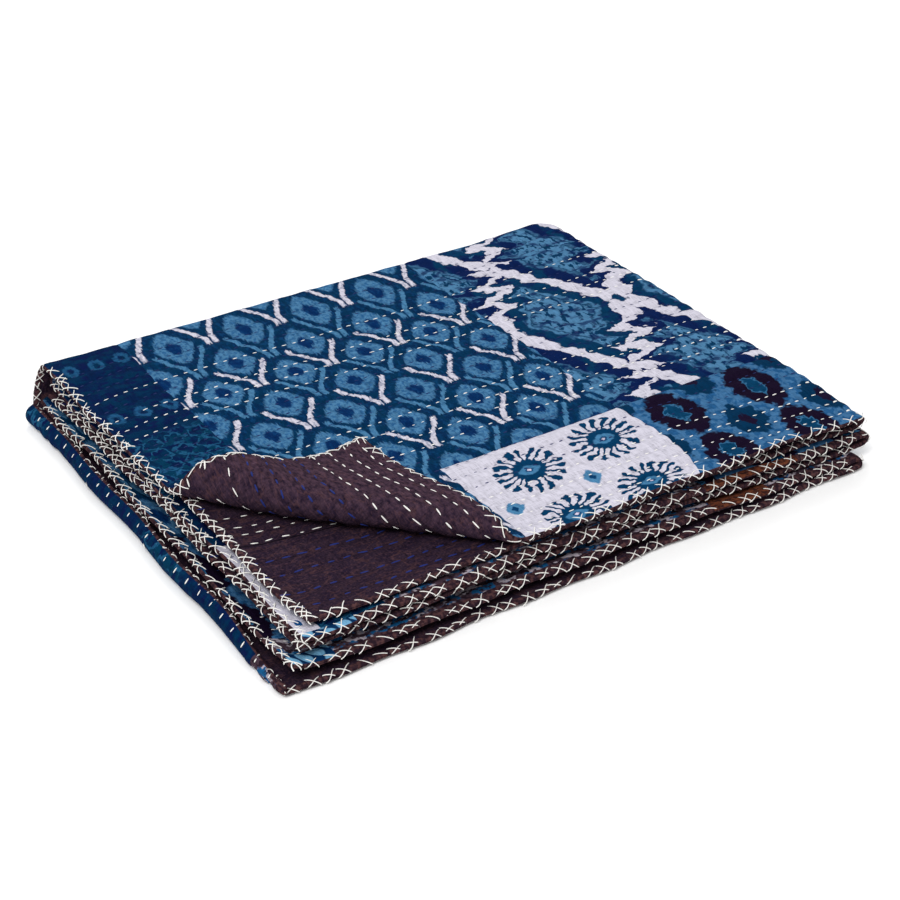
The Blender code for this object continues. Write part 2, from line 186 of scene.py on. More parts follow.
def height(number, spot):
    """Height of a layer's middle surface over a point in plan."""
    layer = LAYERS[number]
    to_side = smooth((spot.x / LENGTH - SIDE_SLOPE_START) / (1 - SIDE_SLOPE_START))
    to_rear = smooth((spot.y / WIDTH - REAR_SLOPE_START) / (1 - REAR_SLOPE_START))
    level = mix(mix(layer.open, layer.side, to_side), layer.rear, to_rear)
    from_left = spot.x - left_edge(number, spot.y)
    from_front = spot.y - front_edge(number, spot.x)
    level += layer.left_lift * max(0, 1 - from_left / LIFT_REACH) ** 2
    level += layer.front_lift * max(0, 1 - from_front / LIFT_REACH) ** 2
    level -= layer.sink * math.exp(-(math.hypot(LENGTH - spot.x, spot.y) / SINK_REACH) ** 2)
    sag = (math.sin(2 * math.pi * spot.x / SAG_LENGTH)
           * math.sin(2 * math.pi * spot.y / SAG_WIDTH + 1))
    from_corner = math.hypot(LENGTH - spot.x, WIDTH - spot.y) / CORNER_BUMP_REACH
    uneven = SAG * sag + CORNER_BUMP * math.exp(-from_corner ** 2)
    return level + (BOTTOM - number) / BOTTOM * uneven


def past_fold(spot):
    """Distance of a top layer's point past the fold line, towards the turned corner."""
    bend = FLAP_BEND * smooth(-spot.dot(FLAP_ALONG) / FLAP_DISTANCE - FLAP_BEND_START)
    return FLAP_DISTANCE + bend - spot.dot(FLAP_NORMAL)


def turned_corner(spot):
    """Place in space of a top layer's point that is rolled over and turned back."""
    past = past_fold(spot)
    along = spot.dot(FLAP_ALONG)
    end_radius = FLAP_ROLL_LEFT if along < 0 else FLAP_ROLL_FRONT
    radius = mix(FLAP_ROLL, end_radius, min(1, abs(along) / FLAP_DISTANCE) ** 2)
    arc = math.pi * radius
    if past <= arc:
        offset = -radius * math.sin(past / radius)
        rise = radius * (1 - math.cos(past / radius))
    else:
        offset = past - arc
        rise = mix(2 * radius, FLAP_REST, smooth(offset / FLAP_SETTLE))
    line = spot + FLAP_NORMAL * past
    share = past / FLAP_DISTANCE
    place = line + FLAP_NORMAL * offset - FLAP_ALONG * FLAP_SWING * smooth(share) * share
    rim = math.exp(-((spot.x - left_edge(TOP, spot.y)) / FLAP_RIM_SPREAD) ** 2)
    crest = math.exp(-((spot.y - FLAP_RIM_CREST) / FLAP_RIM_SPREAD) ** 2)
    rise += FLAP_RIM_BUMP * rim * crest * smooth(past / arc)
    return Vector((*place, height(TOP, line) + rise))


def sheet_point(number, x, y):
    """Place in space of a point of a layer. x and y are measured on the cloth."""
    spot = plan(number, x, y)
    if number == TOP and past_fold(spot) > 0:
        return turned_corner(spot)
    return Vector((*spot, height(number, spot)))


def fold_point(upper, lower, x, y, turn, bulge=None):
    """Place on the rounded fold between two layers. turn goes from 0 above to 1 below."""
    past = Vector((x - CORNER_START, y - ROWS_END))
    if min(past) > -0.05:
        out = Vector((*past, 0)).normalized()
    else:
        out = Vector((1, 0, 0)) if x > LENGTH - 0.05 else Vector((0, 1, 0))
    start, end = sheet_point(upper, x, y), sheet_point(lower, x, y)
    swell = bulge or (start.z - end.z) / 2
    angle = math.pi * turn
    return start.lerp(end, (1 - math.cos(angle)) / 2) + out * swell * math.sin(angle)


def curl_point(y, turn, hem=0):
    """Place on the bottom layer's left edge, which is turned up and over."""
    start = sheet_point(BOTTOM, 0, y)
    size = mix(CURL_AT_FRONT, 1, smooth(start.y / CURL_FULL))
    angle = CURL_TURN * turn
    rolled = Vector((-math.sin(angle), 0, 1 - math.cos(angle))) * CURL_RADIUS
    heading = Vector((-math.cos(angle), 0, math.sin(angle))) * hem
    return start + (rolled + heading) * size


# Where each layer's cloth lies on the whole printed sheet, so that prints run on round the folds.
# x and y are the cloth's own, and each row gives the sheet's place as (offset, sign) twice.
SHEET_PLACES = (
    (0, 1, 0, 1),
    (972, -1, 0, 1),
    (1100, 1, 0, 1),
    (2064, -1, 0, 1),
    (960, -1, 832, -1),
    (0, 1, 832, -1),
)


def on_sheet(number, x, y):
    offset_x, sign_x, offset_y, sign_y = SHEET_PLACES[number]
    return Vector((offset_x + sign_x * x, offset_y + sign_y * y))


def places(stops, sizes):
    """Places from stop to stop, with cells of about the given sizes."""
    result = [stops[0]]
    for start, end, size in zip(stops, stops[1:], sizes):
        count = max(1, round((end - start) / size))
        result += [mix(start, end, step / count) for step in range(1, count + 1)]
    return result


ROW_PITCH = 15.2  # between the rows of quilting
ROW_COUNT = 24
SEAMS_X = (62.5, 172, 328)  # seams between the patches of the top layer
SEAM_Y = 7 * ROW_PITCH
SEAM_BOW, SEAM_SLANT, SEAM_REACH = 5, 8, 28  # of the seam beside the white patch
SECOND_LAYER_ROWS = (18, 37, 57, 73, 95, 106.5, 115, 127.5,
                     *(127.5 + ROW_PITCH * step for step in range(1, 17)))
LEAN, LEAN_REACH = 0.0021, 95  # of the second layer's rows, towards the left
SWERVE, SWERVE_REACH = 9, 85  # of the top layer's rows, towards the left
RIDGE, PULL, PULL_WIDTH = 0.5, 1.1, 3.4  # height between the rows, and how a row pulls it in
WRINKLE, FINE_WRINKLE = 0.75, 0.4
SEAM_DIP, SEAM_WIDTH = 0.5, 2
RIDGE_MARGIN = 7  # the ridges fade out this far from an open edge
ROW_STEP = ROW_PITCH / 5  # rows of the mesh, so that they lie on the rows of quilting
RIM_CELL = 0.75
fine_columns = places((0, 3, *SEAMS_X, CORNER_START, LENGTH), (RIM_CELL, 3.7, 3.7, 3.7, 3.7, 3))
plain_columns = places((0, 3, 200, 440, CORNER_START, LENGTH), (RIM_CELL, 6, 17, 6, 3.5))
fine_rows = places((0, ROW_STEP, RIGHT_FOLDS_END, ROWS_END, WIDTH), (RIM_CELL, ROW_STEP, 2.1, 2.5))
plain_rows = places((0, ROW_STEP, 15 * ROW_STEP, 110 * ROW_STEP, RIGHT_FOLDS_END, ROWS_END, WIDTH),
                    (RIM_CELL, ROW_STEP, 15, ROW_STEP, 4.2, 2.5))
COLUMNS = (fine_columns, *[plain_columns] * 4, fine_columns)
ROWS = (fine_rows, fine_rows, *[plain_rows] * 4)

# A point of the sheet: its place in space and on the printed sheet, how far it is from an open
# edge and from a row of quilting, and how far the cloths stand up there
Point = namedtuple("Point", "place sheet room gap raised")
mesh_points = {}
sheet_faces = []


def lay_strip(rows, first_to_next):
    """Faces between rows of points. first_to_next says which way they face."""
    for near, far in zip(rows, rows[1:]):
        for step in range(len(near) - 1):
            face = [near[step], near[step + 1], far[step + 1], far[step]]
            sheet_faces.append(face if first_to_next else face[::-1])


def seam_shift(x, y):
    """The seam beside the white patch is not quite straight."""
    near = max(0, 1 - abs(x - SEAMS_X[2]) / SEAM_REACH)
    share = min(y / SEAM_Y, 1)
    return near * (SEAM_BOW * math.sin(math.pi * share) - SEAM_SLANT * (1 - share) ** 3)


def quilting_rows(number, x):
    """Where the rows of quilting cross a layer at x. By hand, they swerve towards the left."""
    if number == TOP + 1:
        lean = LEAN * max(0, LEAN_REACH - x)
        return [y + y * lean * (1 - y / WIDTH) for y in SECOND_LAYER_ROWS]
    swerve = SWERVE * max(0, 1 - x / SWERVE_REACH) ** 2 if number == TOP else 0
    sway = 0.9 * math.sin(x / 41 + number) + 0.6 * math.sin(x / 17)
    return [ROW_PITCH * row - swerve + sway for row in range(1, ROW_COUNT + 1)]


def room_at(number, x, y):
    """How far a place is from the open edges."""
    return max(0, y if number == BOTTOM else min(x, y))


def gap_at(number, x, y):
    """How far a place is from the nearest row of quilting."""
    return min(abs(y - row) for row in quilting_rows(number, x))


def raised_at(number, x, y):
    """How far each cloth stands out between the rows and wrinkles there."""
    spot = on_sheet(number, x, y)
    pillow = RIDGE - PULL * math.exp(-(gap_at(number, x, y) / PULL_WIDTH) ** 2)
    wrinkle = WRINKLE * noise.noise(Vector((spot.x / 24, spot.y / 10, 3.1)))
    wrinkle += FINE_WRINKLE * noise.noise(Vector((spot.x / 9, spot.y / 6, 9.2)))
    seam = 0
    if number == TOP:
        across = [abs(x - SEAMS_X[0]), abs(x - SEAMS_X[2] - seam_shift(x, y))]
        if x > SEAMS_X[1]:
            across.append(abs(y - SEAM_Y))
        if y < SEAM_Y:
            across.append(abs(x - SEAMS_X[1]))
        seam = -SEAM_DIP * math.exp(-(min(across) / SEAM_WIDTH) ** 2)
    return (pillow + wrinkle + seam) * smooth(room_at(number, x, y) / RIDGE_MARGIN)


for number, layer in enumerate(LAYERS):
    rows = []
    for j, y in enumerate(ROWS[number]):
        rows.append([(number, i, j) for i in range(len(COLUMNS[number]))])
        for i, x in enumerate(COLUMNS[number]):
            shifted = x + seam_shift(x, y) if number == TOP else x
            mesh_points[number, i, j] = Point(
                sheet_point(number, shifted, y), on_sheet(number, shifted, y),
                room_at(number, x, y), gap_at(number, shifted, y), raised_at(number, shifted, y))
    lay_strip(rows, layer.print_up)


def from_corner(number, a, b):
    """Name of a layer's point, counted from the far right corner."""
    return (number, len(COLUMNS[number]) - 1 - a, len(ROWS[number]) - 1 - b)


def join(upper, lower, stations, steps, bulge=None):
    """A rounded fold between the same stations of two layers."""
    rows = []
    for a, b in stations:
        start, end = from_corner(upper, a, b), from_corner(lower, a, b)
        x, y = COLUMNS[upper][start[1]], ROWS[upper][start[2]]
        first, last = mesh_points[start], mesh_points[end]
        strip = [start]
        for step in range(1, steps):
            share = step / steps
            strip.append(("fold", upper, lower, a, b, step))
            mesh_points[strip[-1]] = Point(
                fold_point(upper, lower, x, y, share, bulge), first.sheet.lerp(last.sheet, share),
                first.room, mix(first.gap, last.gap, share), mix(first.raised, last.raised, share))
        rows.append([*strip, end])
    lay_strip(rows, LAYERS[upper].print_up)


in_corner_y = sum(y > ROWS_END + 0.1 for y in fine_rows)
for upper in (0, 2, 4):
    right = [(0, b) for b in range(len(ROWS[upper]) - 1, in_corner_y, -1)]
    join(upper, upper + 1, right, steps=10)
for upper in (1, 3):
    in_corner = sum(x > CORNER_START + 0.1 for x in COLUMNS[upper])
    join(upper, upper + 1, [(a, 0) for a in range(in_corner, len(COLUMNS[upper]))], steps=6)
around = [(0, b) for b in range(in_corner_y, 0, -1)]
around += [(a, 0) for a in range(len(fine_columns))]
join(TOP, BOTTOM, around, steps=16, bulge=WRAP_BULGE)

CURL_STEPS, HEM_STEPS = 12, 2
CURL_CELL = 1.4
rows = []
for j, y in enumerate(ROWS[BOTTOM][:-1]):
    strip = [(BOTTOM, 0, j)]
    start = mesh_points[strip[0]]
    for step in range(1, CURL_STEPS + HEM_STEPS + 1):
        along = step * CURL_CELL
        room = min(y, (CURL_STEPS + HEM_STEPS - step) * CURL_CELL)
        strip.append(("curl", j, step))
        mesh_points[strip[-1]] = Point(
            curl_point(y, min(step / CURL_STEPS, 1), max(0, step - CURL_STEPS) * 2),
            start.sheet - Vector((along, 0)), room, start.gap,
            raised_at(BOTTOM, -along, y) * smooth(room / RIDGE_MARGIN))
    rows.append(strip)
lay_strip(rows, True)


# ---- Dyed cotton ----
# The cloths are thin soft cotton, worn from use, with uneven threads. Their materials work in
# millimetres on the unfolded sheet, which each cloth's UV map "sheet" gives in metres. Prints
# are built up as a dyer does, one colour over another.
class Dye:
    """A number that changes over a cloth, from nodes of the cloth's material."""

    def __init__(self, tree, socket):
        self.tree = tree
        self.socket = socket

    def use(self, operation, *others, clamp=False):
        node = add_node(self.tree, "ShaderNodeMath", dict(enumerate((self, *others))),
                        operation=operation, use_clamp=clamp)
        return Dye(self.tree, node.outputs[0])

    __add__ = __radd__ = partialmethod(use, "ADD")
    __sub__ = partialmethod(use, "SUBTRACT")
    __rsub__ = partialmethod(use, "MULTIPLY_ADD", -1)
    __mul__ = __rmul__ = partialmethod(use, "MULTIPLY")
    __truediv__ = partialmethod(use, "DIVIDE")
    __abs__ = partialmethod(use, "ABSOLUTE")
    least = partialmethod(use, "MINIMUM")
    most = partialmethod(use, "MAXIMUM")

    def repeat(self, low, high):
        return self.use("WRAP", high, low)

    def cosine(self, length):
        return (self * (2 * math.pi / length)).use("COSINE")

    def ease(self, low, high):
        """From 0 at low to 1 at high, eased."""
        share = ((self - low) / (high - low)).use("ADD", 0, clamp=True)
        return share * share * (3 - share * 2)

    def inside(self, blur):
        """1 where the number is above 0, with a soft edge of this width."""
        return self.use("MULTIPLY_ADD", 1 / blur, 0.5, clamp=True)


def fill(node, inputs):
    """Link or set a node's inputs. Another node gives its first output."""
    for slot, value in inputs.items():
        if isinstance(value, Dye):
            value = value.socket
        elif isinstance(value, bpy.types.Node):
            value = value.outputs[0]
        if isinstance(value, bpy.types.NodeSocket):
            node.id_data.links.new(value, node.inputs[slot])
        else:
            node.inputs[slot].default_value = value
    return node


def add_node(tree, kind, inputs, **settings):
    """Add a node with its settings, and fill its inputs."""
    node = tree.nodes.new(kind)
    for setting, value in settings.items():
        setattr(node, setting, value)
    return fill(node, inputs)


def srgb(red, green, blue):
    """A colour from 0 to 255 as the shader takes it."""
    return (*(((v / 255 + 0.055) / 1.055) ** 2.4 for v in (red, green, blue)), 1)


def noise_on(x, y, length_x, length_y, seed, detail=2):
    """Noise from 0 to 1 whose spots have about these lengths."""
    place = add_node(x.tree, "ShaderNodeCombineXYZ", {0: x / length_x, 1: y / length_y, 2: seed})
    texture = add_node(x.tree, "ShaderNodeTexNoise",
                       {"Scale": 1, "Detail": detail, "Vector": place})
    return Dye(x.tree, texture.outputs["Fac"])


STITCH_PITCH = 8.2  # between the stitches of a row
YARN = 0.62  # between the yarns of the weave


def new_group(name, inputs, outputs):
    """An empty shader node group. Returns it, its output node and its inputs as dyes."""
    group = bpy.data.node_groups.new(name, "ShaderNodeTree")
    for labels, way in ((inputs, "INPUT"), (outputs, "OUTPUT")):
        for label in labels:
            group.interface.new_socket(label, in_out=way, socket_type="NodeSocketFloat")
    source = group.nodes.new("NodeGroupInput")
    sink = group.nodes.new("NodeGroupOutput")
    return group, sink, [Dye(group, source.outputs[label]) for label in inputs]


# Uneven plain weave: threads over and under, slubs, and a tone that goes with them
weave, weave_out, (weave_x, weave_y, yarn) = new_group(
    "uneven_weave", ("X", "Y", "Yarn"), ("Height", "Tone"))
over = (weave_x / yarn).cosine(1) * (weave_y / yarn).cosine(1)
slubs = noise_on(weave_x, weave_y, 9, 0.9, 2) + noise_on(weave_x, weave_y, 0.9, 9, 5)
fill(weave_out, {"Height": over * 0.05 + slubs * 0.25, "Tone": slubs * 0.5})

# Puckers between the stitches: each row pulls the cloth in, a little more at every stitch
puckers, puckers_out, (pucker_x, pucker_y, gap, depth) = new_group(
    "stitch_puckers", ("X", "Y", "Row Gap", "Depth"), ("Height", "Crease Shade"))
sway = noise_on(pucker_x, pucker_y, 11, 4, 7, 1) * 9
pull = ((pucker_x + sway).cosine(STITCH_PITCH) * 0.5 + 0.5) * (1 - gap.ease(0, 4.5))
creases = noise_on(pucker_x, pucker_y, 3.2, 8.5, 11, 3)
# The crease output is painted shade: darker in the creases and along the rows that pull the cloth
# in.
fill(puckers_out, {"Height": ((creases - 0.5) * 1.1 - pull * 0.35) * depth,
                   "Crease Shade": pull * 0.5 + (0.62 - creases).use("MULTIPLY", 1.6, clamp=True)})


class DyedCloth:
    """A cloth's material, from its ground colour to the finished surface."""

    def __init__(self, name, ground):
        self.material = bpy.data.materials.new(name)
        self.material.use_nodes = True
        self.tree = self.material.node_tree
        sheet_map = add_node(self.tree, "ShaderNodeUVMap", {}, uv_map="sheet")
        split = add_node(self.tree, "ShaderNodeSeparateXYZ", {0: sheet_map})
        self.x = Dye(self.tree, split.outputs[0]) * 1000
        self.y = Dye(self.tree, split.outputs[1]) * 1000
        paint = add_node(self.tree, "ShaderNodeRGB", {})
        paint.outputs[0].default_value = srgb(*ground)
        self.colour = paint.outputs[0]

    def spots(self, length_x, length_y, seed, detail=2):
        return noise_on(self.x, self.y, length_x, length_y, seed, detail)

    def sway(self, length_x, length_y, seed, reach):
        """Noise to and fro, within this reach in all."""
        return (self.spots(length_x, length_y, seed) - 0.5) * reach

    def uneven(self, length_x, length_y, seed, reach):
        """x and y pushed to and fro, for the uneven edges of a hand print."""
        return (self.x + self.sway(length_x, length_y, seed, reach),
                self.y + self.sway(length_x, length_y, seed + 1, reach))

    def print_on(self, where, colour, blend="MIX"):
        """Print a colour over the cloth. where is 1 on the print and 0 off it."""
        layer = add_node(self.tree, "ShaderNodeMix", {0: where, 6: self.colour, 7: srgb(*colour)},
                         data_type="RGBA", blend_type=blend)
        self.colour = layer.outputs[2]

    def mottle(self, colour, length_x, length_y, seed, level, blur, share=1, detail=2):
        """Print soft spots where noise is above a level. share is how strong they are."""
        where = self.spots(length_x, length_y, seed, detail) - level
        self.print_on(where.inside(blur) * share, colour)

    def finish(self, depth, roughness):
        """Uneven weave tone, puckers and painted shade in their creases, common to all the cloths.
        """
        add = partial(add_node, self.tree)
        here = {"X": self.x, "Y": self.y}
        woven = add("ShaderNodeGroup", {**here, "Yarn": YARN}, node_tree=weave)
        gap_here = add("ShaderNodeAttribute", {}, attribute_name="row_gap").outputs["Fac"]
        pulled = add("ShaderNodeGroup", {**here, "Row Gap": gap_here, "Depth": depth},
                     node_tree=puckers)
        tone = Dye(self.tree, woven.outputs["Tone"])
        crease_shade = Dye(self.tree, pulled.outputs["Crease Shade"])
        self.print_on((tone - 0.5).use("MULTIPLY", 1.5, clamp=True), (215, 215, 225), "SOFT_LIGHT")
        self.print_on((0.5 - tone).use("MULTIPLY", 2.2, clamp=True), (70, 70, 80), "MULTIPLY")
        # Painted shade in the creases and along the pulled-in rows.
        self.print_on(crease_shade * 0.35, (60, 60, 75), "MULTIPLY")
        heights = Dye(self.tree, woven.outputs["Height"]) + Dye(self.tree, pulled.outputs["Height"])
        bump = add("ShaderNodeBump", {"Distance": 0.001, "Strength": 0.9, "Height": heights})
        fill(self.tree.nodes["Principled BSDF"], {
            "Base Color": self.colour, "Normal": bump,
            "Roughness": tone * 0.12 + (roughness - 0.06), "Specular IOR Level": 0.02})
        return self.material


TEAL = (0, 46, 78)
STEEL_BLUE = (71, 119, 157)
LAVENDER_WHITE = (205, 202, 215)


def blot(x, y, half_x, half_y, power):
    """Above 0 inside a rounded diamond, 1 at its middle. Power 2 is an oval, 1 a diamond."""
    return 1 - ((abs(x) / half_x).use("POWER", power) + (abs(y) / half_y).use("POWER", power))


def tiles(x, y, first_x, first_y, half_x, half_y):
    """x and y from the middle of the nearest motif, for a first one there and these half sizes."""
    return (x - first_x).repeat(-half_x, half_x), (y - first_y).repeat(-half_y, half_y)


# ---- Printed patches ----
# The top is sewn from block-printed and resist-dyed cottons: a dark strip, an ogee trellis, a
# zigzag, flower rings and a white cloth with flowers, and plain, rust, petal and mixed ones below.
# The backing is plain brown, lighter where its hems are worn, with painted light on the turned-back
# corner. Hand printing leaves uneven edges.
def trellis_patch():
    cloth = DyedCloth("ogee_trellis", TEAL)
    feather_x = cloth.x + cloth.sway(1.6, 9, 1, 5)
    feather_y = cloth.y + cloth.sway(1.5, 8, 2, 9)
    stretched = feather_y - (feather_y - 311.6).most(0) * 0.24
    cloth.mottle((2, 40, 76), 7, 14, 3, 0.5, 0.12)
    for first_x, first_y, line in ((64.5, 311.6, LAVENDER_WHITE), (95.1, 276.6, (70, 120, 158))):
        x = (feather_x - first_x).repeat(-30.6, 30.6)
        y = (stretched - first_y).repeat(-46, 24)
        light = blot(x, y, 15.6, 20, 1.32).inside(1 / 6)
        cloth.print_on(light, STEEL_BLUE)
        cloth.print_on(light * (cloth.spots(3, 3, 7, 4) - 0.54).inside(0.05), (46, 94, 138))
        cloth.print_on(blot(x, y, 6.2, 8.4, 1.5).inside(0.4), (2, 40, 86))
        calm_x = (cloth.x + cloth.sway(2.5, 4, 4, 2.4) - first_x).repeat(-30.6, 30.6)
        half = y.ease(-35.5, -3) * 16.5 + 3.1
        stroke = 1.75 - abs(abs(calm_x) - half) * 0.8
        stroke = stroke.least((y + 40.5) * 0.6).least((-4.5 - y) * 0.6)
        cloth.print_on(stroke.inside(0.7), line)
    cloth.mottle((14, 66, 112), 3.2, 5, 6, 0.55, 0.06, share=0.4, detail=4)
    return cloth.finish(0.85, 0.88)


def dark_strip():
    cloth = DyedCloth("dark_strip", (3, 30, 68))
    cloth.mottle((0, 42, 74), 16, 9, 1, 0.5, 0.1)
    cloth.mottle((10, 22, 68), 7, 5, 2, 0.57, 0.08, share=0.8)
    x, y = tiles(*cloth.uneven(2.6, 2.6, 3, 6), 13, 284, 10.5, 41)
    away = ((x * x) + (y * y) * 0.6).use("SQRT")
    ring = (1.7 - abs(away - 4.4)).inside(1.4) * (cloth.spots(4, 4, 5) + 0.15)
    cloth.print_on(ring * (40 - abs(cloth.x - 33)).inside(4), (36, 92, 134))
    band = (30 - abs(cloth.y.repeat(130, 356) - 220)).inside(9)
    x, y = tiles(*cloth.uneven(6, 6, 6, 12), 0, 0, 9, 8)
    arch = abs((x * x + y * y).use("SQRT") - 7)
    cloth.print_on((0.9 - arch).inside(0.8) * band * 0.7, (34, 94, 130))
    cloth.print_on((cloth.spots(9, 7, 8, 3) - 0.56).inside(0.04) * band, (0, 52, 80))
    return cloth.finish(0.85, 0.88)


def zigzag_patch():
    cloth = DyedCloth("ikat_zigzag", (0, 50, 84))
    half_x, half_y = 58.3, 101
    jag_x, jag_y = cloth.uneven(1.6, 2.6, 3, 3)
    across, up = tiles(jag_x + cloth.sway(15, 15, 1, 19), jag_y + cloth.sway(13, 13, 2, 20),
                       381, 239.6, half_x, half_y)
    x, y = abs(across), abs(up)
    jagged = (across * up * -0.01).inside(1) * y.ease(8, 45)
    teeth = (abs(up.repeat(-12.6, 12.6)) - 6.3) * 0.038 * jagged
    place = abs(x / half_x + y / half_y + teeth - 1)
    outline = (0.04 - abs(place - 0.45)) * (cloth.spots(6, 6, 6) - 0.25)
    cloth.print_on(outline.inside(0.012), STEEL_BLUE)
    streaks = (cloth.spots(5, 9, 5, 3) - 0.45).inside(0.05)
    cloth.print_on(streaks * (place - 0.53).inside(0.05), (74, 122, 160))
    cloth.mottle((8, 34, 80), 11, 8, 7, 0.57, 0.1, share=0.8)
    at_side = abs(x - half_x)
    knot = ((0.46 - place) * 8).least((y - 14) * 0.2).least((24 - at_side) * 0.2)
    cloth.print_on(knot.inside(0.6), (6, 28, 74))
    low_knot = ((0.44 - place) * 8).least((at_side - 30) * 0.2).least((y - 76) * 0.2)
    cloth.print_on(low_knot.inside(0.6), (6, 28, 74))
    swell = 0.09 + (0.4 - y / half_y).most(0) * 0.2 + cloth.spots(10, 10, 8) * 0.07
    swell = swell + jagged * 0.035
    cloth.print_on((swell - place).inside(0.02), LAVENDER_WHITE)
    cloth.print_on(blot(x - half_x, y, 6, 6.5, 2).inside(0.3), (0, 52, 88))
    return cloth.finish(0.85, 0.88)


def flower_ring_patch():
    cloth = DyedCloth("flower_rings", (62, 108, 150))
    cloth.mottle((34, 84, 130), 6, 6, 9, 0.52, 0.08)
    wobbling = cloth.uneven(6, 6, 1, 14)
    x, y = tiles(*wobbling, 397.7, 42.5, 37.7, 31.7)
    cloth.print_on(blot(x, y, 17, 23, 1.5).inside(1 / 6), TEAL)
    cloth.print_on(blot(x, y, 5, 9.5, 1.4).inside(1 / 3), (26, 16, 42))
    x, y = tiles(*wobbling, 360, 76.8, 37.7, 31.7)
    cloth.print_on(blot(x, y, 20.5, 31, 1.6).inside(1 / 6), (22, 12, 34))
    cloth.print_on(blot(x, y, 7.4, 12, 2).inside(0.25), (52, 106, 146))
    cloth.print_on(blot(x, y, 6.2, 10.4, 2).inside(0.25), (4, 58, 92))
    return cloth.finish(0.85, 0.88)


def white_patch():
    cloth = DyedCloth("white_flowered", LAVENDER_WHITE)
    uneven_x, uneven_y = cloth.uneven(3, 3, 1, 3)
    slanted = (uneven_x - cloth.y * 0.1, uneven_y - cloth.x * 0.07)
    x, y = tiles(*slanted, 216, 56.5, 34.4, 32.2)
    x = x * 0.9
    away = (x * x + y * y).use("SQRT")
    bend = cloth.sway(13, 13, 3, 0.7)
    petals = (y.use("ARCTAN2", x) + bend).use("MULTIPLY", 18).use("COSINE")
    finger = (petals + (away - 20) * 0.08) * 2.2
    finger = finger.least(petals * 1.5 + bend * 8 + 24.5 - away)
    body = petals * 0.9 + 12.6 - away
    shown = cloth.x - 195
    cloth.print_on(body.most(finger).least(shown).inside(0.8), (0, 54, 90))
    cloth.print_on(blot(x, y, 8.4, 6, 1.5).least(shown).inside(0.25), (66, 120, 160))
    cloth.print_on(blot(x, y, 3.2, 2.8, 1.6).inside(0.5), (14, 66, 108))
    cloth.print_on(blot(x, y, 1.5, 1.5, 1.6).inside(0.5), (210, 200, 220))
    x, y = tiles(*slanted, 181.6, 24.3, 34.4, 32.2)
    shown = (60 - cloth.y).least(300 - cloth.x)
    cloth.print_on(blot(x, y, 7.6, 9, 1.25).least(shown).inside(0.2), (74, 128, 168))
    cloth.print_on(blot(x, y, 2.8, 4, 1.3).least(shown).inside(0.4), (4, 56, 98))
    return cloth.finish(0.95, 0.9)


def plain_white_cloth():
    cloth = DyedCloth("plain_white", LAVENDER_WHITE)
    dot = blot(cloth.x - 1106, cloth.y - 19, 2.4, 4, 2)
    cloth.print_on(dot.inside(0.4), (20, 74, 128))
    return cloth.finish(0.95, 0.9)


def rust_cloth():
    cloth = DyedCloth("rust_cotton", (112, 62, 42))
    cloth.mottle((58, 34, 32), 4, 2, 1, 0.5, 0.2)
    return cloth.finish(0.95, 0.9)


def petal_cloth():
    cloth = DyedCloth("pale_petals", (6, 44, 84))
    x, y = tiles(cloth.x + cloth.y * 0.5, cloth.y - cloth.x * 0.4, 3, -2, 6, 8)
    cloth.print_on(blot(x, y, 4.8, 7.4, 1.8).inside(0.3), (112, 168, 204))
    return cloth.finish(0.95, 0.9)


def brown_cloth():
    cloth = DyedCloth("brown_cotton", (37, 27, 43))
    cloth.mottle((47, 35, 48), 14, 9, 1, 0.5, 0.25, detail=4)
    cloth.mottle((78, 54, 62), 2.4, 1.2, 2, 0.58, 0.14, share=0.6, detail=4)
    cloth.mottle((22, 15, 28), 1.2, 2.6, 4, 0.57, 0.12, share=0.6, detail=4)
    fold_lines = abs(cloth.spots(26, 11, 3, 3) - 0.5)
    cloth.print_on((0.014 - fold_lines).inside(0.02) * 0.4, (86, 58, 58))
    join_line = abs(cloth.y - 90 - (cloth.x - 877).most(0) * 0.171)
    in_second = (0.7 - join_line).least(cloth.x - 740).least(971 - cloth.x)
    cloth.print_on(in_second.inside(0.5), (14, 10, 16))
    # Painted light: the turned-back corner is printed paler in mottled spots, as where light falls
    # on its slope.
    turned_back = (155 - cloth.x - cloth.y).inside(60)
    flap_painted_light = (cloth.spots(5, 3, 5, 4) - 0.5).inside(0.24) * turned_back
    cloth.print_on(flap_painted_light * 0.45, (98, 72, 86))
    return cloth.finish(1.3, 0.9)


def hem_cloth():
    cloth = DyedCloth("brown_hem", (44, 30, 39))
    cloth.mottle((86, 58, 59), 3, 3, 5, 0.53, 0.16, detail=4)
    return cloth.finish(1, 0.9)


def mixed_cloth():
    cloth = DyedCloth("mixed_print", (70, 54, 64))
    cloth.mottle((180, 170, 180), 10, 7, 1, 0.53, 0.06)
    cloth.mottle((24, 84, 130), 9, 7, 4, 0.55, 0.05)
    cloth.mottle((40, 28, 38), 5, 4, 7, 0.56, 0.06)
    return cloth.finish(0.95, 0.9)


PATCHES = {
    "dark": dark_strip(), "trellis": trellis_patch(), "zigzag": zigzag_patch(),
    "rings": flower_ring_patch(), "white": white_patch(), "plain": plain_white_cloth(),
    "petals": petal_cloth(), "rust": rust_cloth(), "brown": brown_cloth(),
    "hem": hem_cloth(), "mixed": mixed_cloth(),
}


FAR = 9999
# Patches of the lower layers, as from x, to x, from y, to y. The first one at a place shows.
LOWER_PATCHES = (
    ("petals", 1099, 1140, -FAR, 7), ("petals", 1099, FAR, 820, FAR),
    ("plain", 1099, 1112, -FAR, 128), ("mixed", 1160, 1420, -FAR, 60),
    ("dark", 1099, 1420, -FAR, FAR), ("rings", 1099, FAR, -FAR, FAR),
    ("rust", 570, 625, 800, FAR), ("petals", 925, FAR, 818, FAR),
    ("mixed", -FAR, FAR, 800, FAR), ("trellis", 720, FAR, -FAR, 660),
    ("rings", 720, FAR, -FAR, FAR),
)
HEM_LINE, WIDE_HEM = 0.5, 4.5  # widths of the backing that shows round the rims


